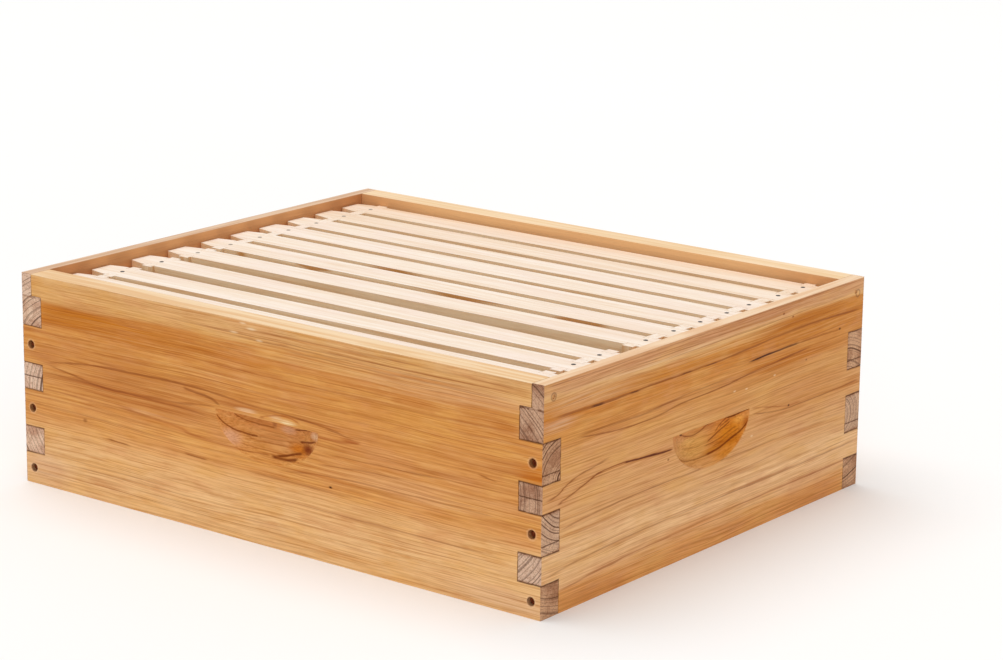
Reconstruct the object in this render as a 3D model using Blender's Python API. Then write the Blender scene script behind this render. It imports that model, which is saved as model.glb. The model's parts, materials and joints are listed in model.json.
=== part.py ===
"""A medium honey super: a finger-jointed wooden hive box with a row of hanging frames.

Metres, +Z up. The origin is at the middle of the box's footprint, X runs along the frames, the front side
board faces -Y and the right end board faces +X.
"""

import math

import bmesh
import bpy

# Box
BOX_LENGTH = 0.5048
BOX_WIDTH = 0.41275
BOX_HEIGHT = 0.168275
BOARD = 0.020  # thickness of all four boards
FIT = 0.0003  # gap between pieces that touch
PAST = 0.005  # how far a cutter runs past the wood

# Finger joints, as heights along a corner
BOTTOM_FINGER = 0.025  # the side board's lowest finger
SIDE_FINGER = 0.030
END_FINGER = 0.021

# Rabbet that the frames hang on, along the inner top edge of each end board
RABBET_DEPTH = 0.0175
RIM = 0.0098  # wood left outside the rabbet

# Hand holds: scoops with a straight upper edge
HAND_HOLD_WIDTH = 0.102
HAND_HOLD_HEIGHT = 0.034
HAND_HOLD_FLOOR = 0.008  # wood left behind the deepest point
HAND_HOLD_BELOW_MIDDLE = 0.0046
HAND_HOLD_STAND_OFF = 0.012  # how far outside the board the scoop's ellipsoid is centred
HAND_HOLD_SEGMENTS = 52

# Nail holes, one in each of a side board's fingers
NAIL_HOLE_DIAMETER = 0.0066
NAIL_HOLE_DEPTH = 0.0035
NAIL_HOLE_INSET = 0.0085  # from the board's end
NAIL_HOLE_SIDES = 16

# Spaces around the frames
END_BEE_SPACE = 0.0105  # end bar to end board
BOTTOM_BEE_SPACE = 0.0018  # frame to the box's lower edge
LUG_END_GAP = 0.0022  # lug to rim
FRAME_GAP = 0.0004  # between spacers that touch
# Parts of the spare width that lie between the frames nearest the front, at the row's left and right ends
SPREAD_LEFT = (0.04, 0.45, 0.33, 0.18)
SPREAD_RIGHT = (0.19, 0.0, 0.81, 0.0)

# Top bar
TOP_BAR_WIDTH = 0.027
LUG_THICKNESS = 0.0095
LUG_STEP = 0.0095  # how far the bar hangs below its lugs
LUG_TAPER_LENGTH = 0.014  # at the tip, where the lug narrows
LUG_TIP_WIDTH = 0.0205
NOTCH_DEPTH = 0.0045  # cut from each side, for an end bar's prong
TOP_GROOVE_DEPTH = 0.007

# End bars
END_BAR_THICKNESS = 0.0095
SPACER_PROUD = 0.00395  # how far a spacer stands out past the top bar, on each side
SHOULDER_STEP = 0.00315  # narrowing below the spacers, on each side
SHOULDER_HEIGHT = 0.060
SHOULDER_TAPER = 0.012
FOOT_PRONG = 0.0048  # wood on each side of the bottom bar
WIRE_HOLE_DIAMETER = 0.003
WIRE_HOLE_COUNT = 3
WIRE_HOLE_SIDES = 8

# Bottom bar and foundation
BOTTOM_BAR_THICKNESS = 0.0095
BOTTOM_GROOVE_DEPTH = 0.004
FOUNDATION_THICKNESS = 0.0026
FOUNDATION_END_GAP = 0.0005

# Colours as the eye reads them, 0 to 255, and roughness
FINISHES = {
    "side_board_wood": ((208, 148, 88), 0.5),
    "end_board_wood": ((200, 142, 86), 0.5),
    "top_bar_wood": ((248, 228, 206), 0.6),
    "end_bar_wood": ((238, 212, 178), 0.6),
    "bottom_bar_wood": ((240, 216, 184), 0.6),
    "foundation_wax": ((226, 178, 74), 0.45),
}

# Worked out from the sizes above
INNER_LENGTH = BOX_LENGTH - 2 * BOARD
INNER_WIDTH = BOX_WIDTH - 2 * BOARD
LEDGE = BOX_HEIGHT - RABBET_DEPTH
FRAME_LENGTH = INNER_LENGTH - 2 * END_BEE_SPACE
TOP_BAR_LENGTH = BOX_LENGTH - 2 * (RIM + LUG_END_GAP)
TOP_BAR_THICKNESS = LUG_THICKNESS + LUG_STEP
NECK_WIDTH = TOP_BAR_WIDTH - 2 * NOTCH_DEPTH
SPACER_WIDTH = TOP_BAR_WIDTH + 2 * SPACER_PROUD
FOOT_WIDTH = SPACER_WIDTH - 2 * SHOULDER_STEP
BOTTOM_BAR_WIDTH = FOOT_WIDTH - 2 * (FOOT_PRONG + FIT)
GROOVE_WIDTH = FOUNDATION_THICKNESS + 2 * FIT
END_BAR_MIDDLE = (FRAME_LENGTH - END_BAR_THICKNESS) / 2
# Heights in a frame, from the ledge it hangs on
FRAME_TOP = FIT + LUG_THICKNESS
FRAME_BOTTOM = BOTTOM_BEE_SPACE - LEDGE

# Turns that stand a flat outline up, facing along the box or across it
ALONG_X = (math.pi / 2, 0, 0)
ALONG_Y = (math.pi / 2, 0, math.pi / 2)


def clear_scene():
    for old in list(bpy.data.objects):
        bpy.data.objects.remove(old)


def new_collection(name):
    collection = bpy.data.collections.new(name)
    bpy.context.scene.collection.children.link(collection)
    return collection


def linear(level):
    share = level / 255
    return share / 12.92 if share <= 0.04045 else ((share + 0.055) / 1.055) ** 2.4


def new_finish(name, colour, roughness):
    finish = bpy.data.materials.new(name)
    finish.use_nodes = True
    shader = finish.node_tree.nodes["Principled BSDF"]
    shader.inputs["Base Color"].default_value = (*map(linear, colour), 1)
    shader.inputs["Roughness"].default_value = roughness
    shader.inputs["Metallic"].default_value = 0
    return finish


def mesh_of(name, form):
    mesh = bpy.data.meshes.new(name)
    form.to_mesh(mesh)
    form.free()
    return mesh


def block_mesh(name, size):
    form = bmesh.new()
    bmesh.ops.create_cube(form, size=1)
    bmesh.ops.scale(form, vec=size, verts=form.verts)
    return mesh_of(name, form)


def mesh_from_object(source):
    """The evaluated shape of an object as a mesh of its own, with its loose caps welded."""
    graph = bpy.context.evaluated_depsgraph_get()
    mesh = bpy.data.meshes.new_from_object(source.evaluated_get(graph))
    form = bmesh.new()
    form.from_mesh(mesh)
    bmesh.ops.remove_doubles(form, verts=form.verts, dist=1e-6)
    bmesh.ops.dissolve_limit(form, angle_limit=1e-3, verts=form.verts, edges=form.edges)
    form.to_mesh(mesh)
    form.free()
    return mesh


def plate_mesh(name, outline, thickness, holes=()):
    """A flat outline with holes, given thickness about its own plane."""
    curve = bpy.data.curves.new(name, "CURVE")
    curve.dimensions = "2D"
    curve.fill_mode = "BOTH"
    curve.extrude = thickness / 2
    for points in (outline, *holes):
        spline = curve.splines.new("POLY")
        spline.points.add(len(points) - 1)
        for point, (u, v) in zip(spline.points, points):
            point.co = (u, v, 0, 1)
        spline.use_cyclic_u = True
    sketch = bpy.data.objects.new(name, curve)
    bpy.context.scene.collection.objects.link(sketch)
    mesh = mesh_from_object(sketch)
    mesh.name = name
    bpy.data.objects.remove(sketch)
    bpy.data.curves.remove(curve)
    return mesh


def mirrored(edge):
    """A closed outline from its right-hand edge, given from the bottom up."""
    return edge + [(-u, v) for u, v in reversed(edge)]


def circle(u, v, diameter, sides):
    turns = [2 * math.pi * step / sides for step in range(sides)]
    return [(u + diameter / 2 * math.cos(turn), v + diameter / 2 * math.sin(turn)) for turn in turns]


def add_part(name, mesh, finish, location=(0, 0, 0), rotation=(0, 0, 0), parent=None):
    part = bpy.data.objects.new(name, mesh)
    part.location = location
    part.rotation_euler = rotation
    part.parent = parent
    if not mesh.materials:
        mesh.materials.append(finishes[finish])
    parts.objects.link(part)
    return part


def cut(part, mesh, location=(0, 0, 0), rotation=(0, 0, 0)):
    cutter = bpy.data.objects.new(part.name + "_cutter", mesh)
    cutter.location = location
    cutter.rotation_euler = rotation
    cutter.hide_render = True
    cutter.display_type = "WIRE"
    cutters.objects.link(cutter)
    difference = part.modifiers.new(mesh.name, "BOOLEAN")
    difference.operation = "DIFFERENCE"
    difference.solver = "EXACT"
    difference.object = cutter


def cut_block(part, corner, opposite):
    """Takes the box between two opposite corners out of a part."""
    size = [abs(b - a) for a, b in zip(corner, opposite)]
    middle = [(a + b) / 2 for a, b in zip(corner, opposite)]
    cut(part, block_mesh("block", size), middle)


def side_fingers():
    """The (low, high) heights of a side board's fingers. The end board's fingers fill the spaces between."""
    pitch = SIDE_FINGER + END_FINGER
    room = LEDGE - END_FINGER - BOTTOM_FINGER
    lows = [BOTTOM_FINGER + END_FINGER + pitch * step for step in range(int(room / pitch))]
    return [(0, BOTTOM_FINGER)] + [(low, low + SIDE_FINGER) for low in lows]


def hand_hold_mesh():
    """The lower half of an ellipsoid, flat on top, its long axis along X and its depth along Y."""
    reach = HAND_HOLD_STAND_OFF + BOARD - HAND_HOLD_FLOOR
    spread = 1 / math.sqrt(1 - (HAND_HOLD_STAND_OFF / reach) ** 2)  # from the mouth's size to the ellipsoid's
    radii = (HAND_HOLD_WIDTH / 2 * spread, reach, HAND_HOLD_HEIGHT * spread)
    around = HAND_HOLD_SEGMENTS
    form = bmesh.new()
    bmesh.ops.create_uvsphere(form, u_segments=around, v_segments=around // 2, radius=1)
    bmesh.ops.scale(form, vec=radii, verts=form.verts)
    whole = form.verts[:] + form.edges[:] + form.faces[:]
    level = bmesh.ops.bisect_plane(form, geom=whole, plane_no=(0, 0, 1), clear_outer=True)
    rim = [item for item in level["geom_cut"] if isinstance(item, bmesh.types.BMEdge)]
    bmesh.ops.contextual_create(form, geom=rim)
    bmesh.ops.recalc_face_normals(form, faces=form.faces)
    mesh = mesh_of("hand_hold", form)
    mesh.shade_smooth()
    mesh.set_sharp_from_angle(angle=math.radians(40))
    return mesh


def nail_hole_mesh():
    """A blind hole's cutter, centred on the face that it opens in."""
    form = bmesh.new()
    radius = NAIL_HOLE_DIAMETER / 2
    depth = 2 * NAIL_HOLE_DEPTH
    sides = NAIL_HOLE_SIDES
    bmesh.ops.create_cone(form, cap_ends=True, segments=sides, radius1=radius, radius2=radius, depth=depth)
    return mesh_of("nail_hole", form)


def cut_side_board_ends(board, face):
    """Leaves a side board's fingers and, above them, the tongue that fills the end of the rabbet."""
    outside, inside = 2 * face, 0
    fingers = side_fingers()
    highest = fingers[-1][1] - FIT / 2
    for end in (-1, 1):
        tip = end * (BOX_LENGTH / 2 + PAST)
        root = end * (BOX_LENGTH / 2 - BOARD - FIT)
        tongue = end * (BOX_LENGTH / 2 - RIM - FIT)
        for (_, below), (above, _) in zip(fingers, fingers[1:]):
            cut_block(board, (tip, outside, below - FIT / 2), (root, inside, above + FIT / 2))
        cut_block(board, (tip, outside, highest), (root, inside, LEDGE + FIT))
        cut_block(board, (tip, outside, highest), (tongue, inside, BOX_HEIGHT + PAST))


def cut_end_board_ends(board, face):
    """Leaves the end board's fingers between the places of the side boards' fingers."""
    outside, inside = 2 * face, 0
    for end in (-1, 1):
        tip = end * (BOX_WIDTH / 2 + PAST)
        root = end * (BOX_WIDTH / 2 - BOARD - FIT)
        for low, high in side_fingers():
            start = low - FIT / 2 if low else -PAST
            cut_block(board, (outside, tip, start), (inside, root, high + FIT / 2))


def build_box():
    hand_hold_height = (BOX_HEIGHT + HAND_HOLD_HEIGHT) / 2 - HAND_HOLD_BELOW_MIDDLE
    hand_hold = hand_hold_mesh()

    side_board = block_mesh("side_board", (BOX_LENGTH, BOARD, BOX_HEIGHT))
    nail_hole = nail_hole_mesh()
    for name, facing in (("front_side_board", -1), ("rear_side_board", 1)):
        face = facing * BOX_WIDTH / 2
        middle = (0, face - facing * BOARD / 2, BOX_HEIGHT / 2)
        board = add_part(name, side_board, "side_board_wood", middle)
        cut_side_board_ends(board, face)
        cut(board, hand_hold, (0, face + facing * HAND_HOLD_STAND_OFF, hand_hold_height))
        for end in (-1, 1):
            for low, high in side_fingers():
                finger = (end * (BOX_LENGTH / 2 - NAIL_HOLE_INSET), face, (low + high) / 2)
                cut(board, nail_hole, finger, ALONG_X)

    end_board = block_mesh("end_board", (BOARD, BOX_WIDTH, BOX_HEIGHT))
    across = BOX_WIDTH / 2 + PAST
    for name, facing in (("left_end_board", -1), ("right_end_board", 1)):
        face = facing * BOX_LENGTH / 2
        middle = (face - facing * BOARD / 2, 0, BOX_HEIGHT / 2)
        board = add_part(name, end_board, "end_board_wood", middle)
        cut_end_board_ends(board, face)
        cut_block(board, (0, -across, LEDGE), (face - facing * RIM, across, BOX_HEIGHT + PAST))
        scoop = (face + facing * HAND_HOLD_STAND_OFF, 0, hand_hold_height)
        cut(board, hand_hold, scoop, (0, 0, math.pi / 2))


def top_bar_mesh():
    """Lugs tapered at their tips, notches for the end bars' prongs, thin under the lugs, grooved below."""
    tip = TOP_BAR_LENGTH / 2
    wide = TOP_BAR_WIDTH / 2
    narrow = LUG_TIP_WIDTH / 2
    edge = [
        (tip - LUG_TAPER_LENGTH, -wide),
        (tip, -narrow),
        (tip, narrow),
        (tip - LUG_TAPER_LENGTH, wide),
    ]
    outline = plate_mesh("top_bar", mirrored(edge), TOP_BAR_THICKNESS)
    blank = add_part("top_bar_blank", outline, "top_bar_wood")
    past_tip = tip + PAST
    past_side = wide + PAST
    shoulder = FRAME_LENGTH / 2 - END_BAR_THICKNESS - FIT
    under = -TOP_BAR_THICKNESS / 2
    for end in (-1, 1):
        for side in (-1, 1):
            notch = (end * shoulder, side * NECK_WIDTH / 2, under - PAST)
            cut_block(blank, notch, (end * (FRAME_LENGTH / 2 + FIT), side * past_side, PAST - under))
        step = (end * FRAME_LENGTH / 2, -past_side, under - PAST)
        cut_block(blank, step, (end * past_tip, past_side, under + LUG_STEP))
    groove = (past_tip, GROOVE_WIDTH / 2, under + TOP_GROOVE_DEPTH)
    cut_block(blank, (-past_tip, -GROOVE_WIDTH / 2, under - PAST), groove)
    mesh = mesh_from_object(blank)
    for difference in blank.modifiers:
        bpy.data.objects.remove(difference.object)
    bpy.data.objects.remove(blank)
    return mesh


def end_bar_mesh():
    """Forked at the top for the top bar, slotted at the foot for the bottom bar, wide at the spacers."""
    height = FRAME_TOP - FRAME_BOTTOM
    fork = height - TOP_BAR_THICKNESS - FIT
    slot = BOTTOM_BAR_THICKNESS + FIT
    fork_half = NECK_WIDTH / 2 + FIT
    slot_half = BOTTOM_BAR_WIDTH / 2 + FIT
    shoulder = height - SHOULDER_HEIGHT
    edge = [
        (slot_half, slot),
        (slot_half, 0),
        (FOOT_WIDTH / 2, 0),
        (FOOT_WIDTH / 2, shoulder - SHOULDER_TAPER),
        (SPACER_WIDTH / 2, shoulder),
        (SPACER_WIDTH / 2, height),
        (fork_half, height),
        (fork_half, fork),
    ]
    step = (fork - slot) / (WIRE_HOLE_COUNT + 1)
    levels = [slot + step * (count + 1) for count in range(WIRE_HOLE_COUNT)]
    holes = [circle(0, level, WIRE_HOLE_DIAMETER, WIRE_HOLE_SIDES) for level in levels]
    return plate_mesh("end_bar", mirrored(edge), END_BAR_THICKNESS, holes)


def bottom_bar_mesh():
    """A bar with a groove along its upper face, drawn as its section."""
    top = BOTTOM_BAR_THICKNESS
    side = BOTTOM_BAR_WIDTH / 2
    groove = GROOVE_WIDTH / 2
    edge = [(side, 0), (side, top), (groove, top), (groove, top - BOTTOM_GROOVE_DEPTH)]
    return plate_mesh("bottom_bar", mirrored(edge), FRAME_LENGTH)


def frame_rests():
    """Each frame's place on the ledges, and its small turn out of line."""
    pitch = SPACER_WIDTH + FRAME_GAP
    count = int((INNER_WIDTH - FRAME_GAP) / pitch)
    spare = INNER_WIDTH - FRAME_GAP - count * pitch
    first = (SPACER_WIDTH - INNER_WIDTH) / 2 + FRAME_GAP
    rests = []
    for index in range(count):
        left = first + index * pitch + spare * sum(SPREAD_LEFT[:index]) / sum(SPREAD_LEFT)
        right = first + index * pitch + spare * sum(SPREAD_RIGHT[:index]) / sum(SPREAD_RIGHT)
        rests.append(((0, (left + right) / 2, LEDGE), math.atan2(right - left, 2 * END_BAR_MIDDLE)))
    return rests


def build_frames():
    top_bar = top_bar_mesh()
    end_bar = end_bar_mesh()
    bottom_bar = bottom_bar_mesh()
    foundation_low = FRAME_BOTTOM + BOTTOM_BAR_THICKNESS - BOTTOM_GROOVE_DEPTH + FIT
    foundation_high = FRAME_TOP - TOP_BAR_THICKNESS + TOP_GROOVE_DEPTH - FIT
    foundation_length = FRAME_LENGTH - 2 * (END_BAR_THICKNESS + FOUNDATION_END_GAP)
    foundation_size = (foundation_length, FOUNDATION_THICKNESS, foundation_high - foundation_low)
    foundation = block_mesh("foundation", foundation_size)
    top_bar_seat = (0, 0, FRAME_TOP - TOP_BAR_THICKNESS / 2)
    bottom_bar_seat = (0, 0, FRAME_BOTTOM)
    foundation_seat = (0, 0, (foundation_low + foundation_high) / 2)
    for number, (place, turn) in enumerate(frame_rests(), 1):
        name = f"frame_{number:02}"
        frame = bpy.data.objects.new(name, None)
        frame.location = place
        frame.rotation_euler = (0, 0, turn)
        parts.objects.link(frame)
        add_part(name + "_top_bar", top_bar, "top_bar_wood", top_bar_seat, parent=frame)
        for side, end in (("left", -1), ("right", 1)):
            end_bar_seat = (end * END_BAR_MIDDLE, 0, FRAME_BOTTOM)
            add_part(f"{name}_{side}_end_bar", end_bar, "end_bar_wood", end_bar_seat, ALONG_Y, frame)
        add_part(name + "_bottom_bar", bottom_bar, "bottom_bar_wood", bottom_bar_seat, ALONG_Y, frame)
        add_part(name + "_foundation", foundation, "foundation_wax", foundation_seat, parent=frame)


clear_scene()
parts = new_collection("honey_super")
cutters = new_collection("cutters")
finishes = {name: new_finish(name, *look) for name, look in FINISHES.items()}
build_box()
build_frames()
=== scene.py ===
# Looks of a medium honey super: waxed boards, pale frames, nails and wax foundation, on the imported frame.
import json
import math
from types import SimpleNamespace

import bpy
import numpy as np
from mathutils import Matrix, Vector

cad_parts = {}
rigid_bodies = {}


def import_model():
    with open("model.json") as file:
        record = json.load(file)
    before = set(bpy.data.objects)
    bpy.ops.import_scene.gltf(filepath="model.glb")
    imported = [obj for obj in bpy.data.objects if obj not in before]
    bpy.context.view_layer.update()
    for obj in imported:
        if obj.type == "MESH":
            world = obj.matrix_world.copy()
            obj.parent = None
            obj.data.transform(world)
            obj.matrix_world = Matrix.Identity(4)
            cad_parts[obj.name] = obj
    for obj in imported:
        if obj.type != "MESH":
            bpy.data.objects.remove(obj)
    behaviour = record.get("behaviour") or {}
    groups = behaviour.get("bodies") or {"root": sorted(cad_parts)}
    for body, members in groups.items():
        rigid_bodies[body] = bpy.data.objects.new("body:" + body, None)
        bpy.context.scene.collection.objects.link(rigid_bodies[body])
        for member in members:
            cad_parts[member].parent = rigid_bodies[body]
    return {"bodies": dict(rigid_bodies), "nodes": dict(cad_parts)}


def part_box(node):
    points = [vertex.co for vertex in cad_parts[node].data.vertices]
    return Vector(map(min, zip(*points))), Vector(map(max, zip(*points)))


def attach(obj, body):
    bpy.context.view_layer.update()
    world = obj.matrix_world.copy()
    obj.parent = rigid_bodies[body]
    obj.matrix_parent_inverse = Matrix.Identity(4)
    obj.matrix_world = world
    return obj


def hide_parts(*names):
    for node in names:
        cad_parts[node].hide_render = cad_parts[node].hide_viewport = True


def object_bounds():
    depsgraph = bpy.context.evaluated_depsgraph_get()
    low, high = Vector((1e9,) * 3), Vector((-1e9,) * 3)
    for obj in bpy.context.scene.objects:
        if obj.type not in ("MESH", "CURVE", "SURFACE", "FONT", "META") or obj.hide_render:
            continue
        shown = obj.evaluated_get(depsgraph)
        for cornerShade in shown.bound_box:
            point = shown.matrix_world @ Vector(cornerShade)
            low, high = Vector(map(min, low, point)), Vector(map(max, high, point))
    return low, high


for old in list(bpy.data.objects):
    bpy.data.objects.remove(old)
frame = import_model()
nodes = frame["nodes"]
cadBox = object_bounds()
frameNames = sorted(name for name in frame["bodies"] if name.startswith("frame_"))
print(f"frame loaded: {len(nodes)} nodes, {len(frameNames)} hanging frames")

millimetre = 0.001
halfLength = cadBox[1].x / millimetre
halfWidth = cadBox[1].y / millimetre
boxHeight = cadBox[1].z / millimetre


def rgb(red, green, blue):  # a colour as the eye reads it, 0 to 255, turned into linear light
    share = np.array([red, green, blue]) / 255
    light = np.where(share <= 0.04045, share / 12.92, ((share + 0.055) / 1.055) ** 2.4)
    return (*light.tolist(), 1.0)


class Shade:  # one socket of a material, so that sums on it become Math nodes
    def __init__(self, tree, socket):
        self.tree = tree
        self.socket = socket

    # a node of any kind: its settings first, then the values or links of its sockets
    def node(self, kind, settings, sockets, out=0):
        made = self.tree.nodes.new(kind)
        for key, value in settings.items():
            if key == "stops":
                setStops(made.color_ramp, value)
            elif key == "curve":
                setCurve(made.mapping, value)
            else:
                setattr(made, key, value)
        for key, value in sockets.items():
            if isinstance(value, Shade):
                self.tree.links.new(value.socket, made.inputs[key])
            else:
                made.inputs[key].default_value = value
        return Shade(self.tree, made.outputs[out])

    def math(self, operation, first, second=0.0):
        return self.node("ShaderNodeMath", {"operation": operation}, {0: first, 1: second})

    def __add__(self, other):
        return self.math("ADD", self, other)

    def __radd__(self, other):
        return self.math("ADD", other, self)

    def __sub__(self, other):
        return self.math("SUBTRACT", self, other)

    def __rsub__(self, other):
        return self.math("SUBTRACT", other, self)

    def __mul__(self, other):
        return self.math("MULTIPLY", self, other)

    def __rmul__(self, other):
        return self.math("MULTIPLY", other, self)

    def __truediv__(self, other):
        return self.math("DIVIDE", self, other)

    def __pow__(self, other):
        return self.math("POWER", self, other)

    def __abs__(self):
        return self.math("ABSOLUTE", self)


def setStops(ramp, stops):  # stops are (place from 0 to 1, colour)
    ramp.interpolation = "EASE"
    while len(ramp.elements) < len(stops):
        ramp.elements.new(1.0)
    for element, (place, colour) in zip(ramp.elements, stops):
        element.position = place
        element.color = colour


def setCurve(mapping, points):  # points are (place, value), both from 0 to 1
    line = mapping.curves[0].points
    while len(line) < len(points):
        line.new(0.5, 0.5)
    for point, place in zip(line, points):
        point.location = place
    mapping.update()


def rise(value, low, high):  # smooth step, 0 below low and 1 above high
    settings = {"interpolation_type": "SMOOTHSTEP"}
    return value.node("ShaderNodeMapRange", settings, {0: value, 1: low, 2: high})


def mix(share, first, second):  # two colours, the first where share is 0
    return share.node("ShaderNodeMix", {"data_type": "RGBA"}, {0: share, 6: first, 7: second}, out=2)


def tint(share, first, second):  # the first colour multiplied by the second, as far as share says
    settings = {"data_type": "RGBA", "blend_type": "MULTIPLY"}
    return share.node("ShaderNodeMix", settings, {0: share, 6: first, 7: second}, out=2)


def stretched(place, lengths, shift=(0, 0, 0)):  # a pattern's size along each axis, in millimetres
    scale = tuple(1 / length for length in lengths)
    return place.node("ShaderNodeMapping", {}, {"Vector": place, "Location": shift, "Scale": scale})


def noise(place, detail=2.0, roughness=0.5):
    sockets = {"Vector": place, "Scale": 1.0, "Detail": detail, "Roughness": roughness}
    return place.node("ShaderNodeTexNoise", {}, sockets)


def newMaterial(name):  # the material, its shader, and its Object coordinates, which are in metres
    material = bpy.data.materials.new(name)
    material.use_nodes = True
    tree = material.node_tree
    shader = tree.nodes["Principled BSDF"]
    coordinates = tree.nodes.new("ShaderNodeTexCoord")
    return material, shader, Shade(tree, coordinates.outputs["Object"])


def plug(shader, name, value):
    value.tree.links.new(value.socket, shader.inputs[name])


def bump(relief, grain):  # a normal that follows the relief
    sockets = {"Strength": grain["bumpStrength"], "Distance": grain["bumpHeight"], "Height": relief}
    return relief.node("ShaderNodeBump", {}, sockets)


# Object coordinates in millimetres, turned about the upright axis and then moved back by a distance
def inMillimetres(place, turn=0.0, distance=0.0):
    scale = (1 / millimetre,) * 3
    sockets = {"Vector": place, "Location": (0, distance, 0), "Rotation": (0, 0, turn), "Scale": scale}
    return place.node("ShaderNodeMapping", {"vector_type": "POINT"}, sockets)


def axesOf(local):  # the three parts of a place, each a value of its own
    first = local.node("ShaderNodeSeparateXYZ", {}, {0: local})
    return [Shade(local.tree, axis) for axis in first.socket.node.outputs]


# a node group of numbers, so that many alike pieces of a pattern cost the material one node each
def newGroup(name, inputs, outputs):
    tree = bpy.data.node_groups.new(name, "ShaderNodeTree")
    for direction, names in (("INPUT", inputs), ("OUTPUT", outputs)):
        for each in names:
            tree.interface.new_socket(each, in_out=direction, socket_type="NodeSocketFloat")
    start = tree.nodes.new("NodeGroupInput")
    end = tree.nodes.new("NodeGroupOutput")
    return end, [Shade(tree, start.outputs[each]) for each in inputs]


# a drawn line: its core is full within its width, a halo three times as wide lies round it, both ends fade
def lineGroup():
    inputs = ("along", "height", "middle", "first", "last", "fade", "width", "strength", "mask")
    end, given = newGroup("drawn_line", inputs, ("core", "halo"))
    along, height, middle, first, last, fade, width, strength, mask = given
    off = abs(height - middle * boxHeight)
    ends = rise(along, first, first + fade) * (1 - rise(along, last - fade, last)) * strength * mask
    plug(end, "core", (1 - rise(off, width * 0.25, width)) * ends)
    plug(end, "halo", (1 - rise(off, width * 0.8, width * 3)) * ends)
    return given[0].tree


# a soft patch: full at its middle, gone at its radii
def patchGroup():
    inputs = ("along", "height", "middle along", "middle height", "reach along", "reach up", "strength")
    end, given = newGroup("soft_patch", inputs, ("share",))
    along, height, middleAlong, middleHeight, reachAlong, reachUp, strength = given
    across = (along - middleAlong) / reachAlong
    upward = (height - middleHeight) / reachUp
    plug(end, "share", (1 - rise((across * across + upward * upward) ** 0.5, 0.15, 1.0)) * strength)
    return given[0].tree


# painted shade of a joint gap: how near a point lies to a notch in the board's end, where the other board's
# finger shows
def jointShadeGroup():
    inputs = ("from end", "height", "low", "high", "inset")
    end, given = newGroup("joint_line", inputs, ("share",))
    fromEnd, height, low, high, inset = given
    outside = low.math("MAXIMUM", low - height, height - high)
    outside = low.math("MAXIMUM", outside, fromEnd - inset)
    plug(end, "share", 1 - rise(abs(outside), 0.2, 1.1))
    return given[0].tree


groups = {"line": lineGroup(), "patch": patchGroup(), "seam": jointShadeGroup()}


# a line whose height follows a smooth curve through the points of its route
def vein(place, alongShare, halfSpan, look):
    points = [((u / halfSpan + 1) / 2, v / boxHeight) for u, v in look["route"]]
    middle = alongShare.node("ShaderNodeFloatCurve", {"curve": points}, {"Value": alongShare})
    sockets = {"middle": middle, "first": look["route"][0][0], "last": look["route"][-1][0]}
    sockets.update({key: look[key] for key in ("fade", "width", "strength")})
    core = middle.node("ShaderNodeGroup", {"node_tree": groups["line"]}, {**place, **sockets})
    return core, Shade(core.tree, core.socket.node.outputs["halo"])


def softPatch(along, height, look):
    reachAlong, reachUp = look["radii"]
    sockets = {"along": along, "middle along": look["along"], "reach along": reachAlong}
    sockets.update({"height": height, "middle height": look["height"], "reach up": reachUp})
    sockets["strength"] = look["strength"]
    return along.node("ShaderNodeGroup", {"node_tree": groups["patch"]}, sockets)


def seam(fromEnd, height, notch):
    sockets = {"from end": fromEnd, "height": height, "low": notch[0], "high": notch[1], "inset": notch[2]}
    return fromEnd.node("ShaderNodeGroup", {"node_tree": groups["seam"]}, sockets)


def spot(along, height, middle):  # distance from a point of the face
    across = along - middle[0]
    upward = height - middle[1]
    return (across * across + upward * upward) ** 0.5


# one drawn line: its route along and up the face, half its width, its darkness, and the length of its ends
def drawn(route, width=1.1, strength=0.5, colour=(150, 84, 40), fade=14):
    return {"route": route, "width": width, "strength": strength, "colour": colour, "fade": fade}


def patch(along, height, radii, strength, colour):
    return {"along": along, "height": height, "radii": radii, "strength": strength, "colour": colour}


# what all four boards share, in millimetres: pattern sizes along the grain, into the wood and up the face,
# how far the patterns push edges about, and the extents of scoops, holes, pegs and the painted corner shade
boardGrain = {
    "sway": (170, 45, 40), "ripple": (95, 18, 14), "broad": (260, 22, 13), "streak": (200, 6, 2.6),
    "line": (330, 4, 1.3), "fibre": (60, 0.9, 0.9), "cloud": (44, 18, 14), "mottle": (24, 6, 4.2),
    "broken": (230, 12, 7), "pore": (22, 1.2, 0.8), "speck": (1.4, 1.1, 1.1),
    "ringRhythm": (2.9, 1, 1),  # counted in rings
    "bandDrift": {"broad": 22, "streak": 9}, "stainDrift": {"broad": 16, "streak": 7},
    "veinDrift": {"fibre": 1.3, "streak": 2.0, "mottle": 1.6}, "scoopDrift": {"fibre": 0.9, "mottle": 1.4},
    "fleckDrift": {"fibre": 1.0}, "holeDrift": {"fibre": 1.6}, "pegDrift": {"fibre": 1.2},
    "crackDrift": {"speck": 1.5},
    "rippleHeight": 1.8, "scoopHalfWidth": 53, "scoopLow": 60, "scoopHigh": 98, "scoopDepth": 13,
    "holeFloor": 2.9, "holeEdge": 3.9, "holeHalo": 5.2, "pegRadius": 2.7,
    "cornerFrom": 95, "cornerTo": 20, "cornerColour": (206, 160, 120), "speckColour": (196, 178, 166),
    "gloss": 0.1, "waxCoat": 0.02, "waxRoughness": 0.3, "bumpStrength": 0.35, "bumpHeight": 0.00025,
}


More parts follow.
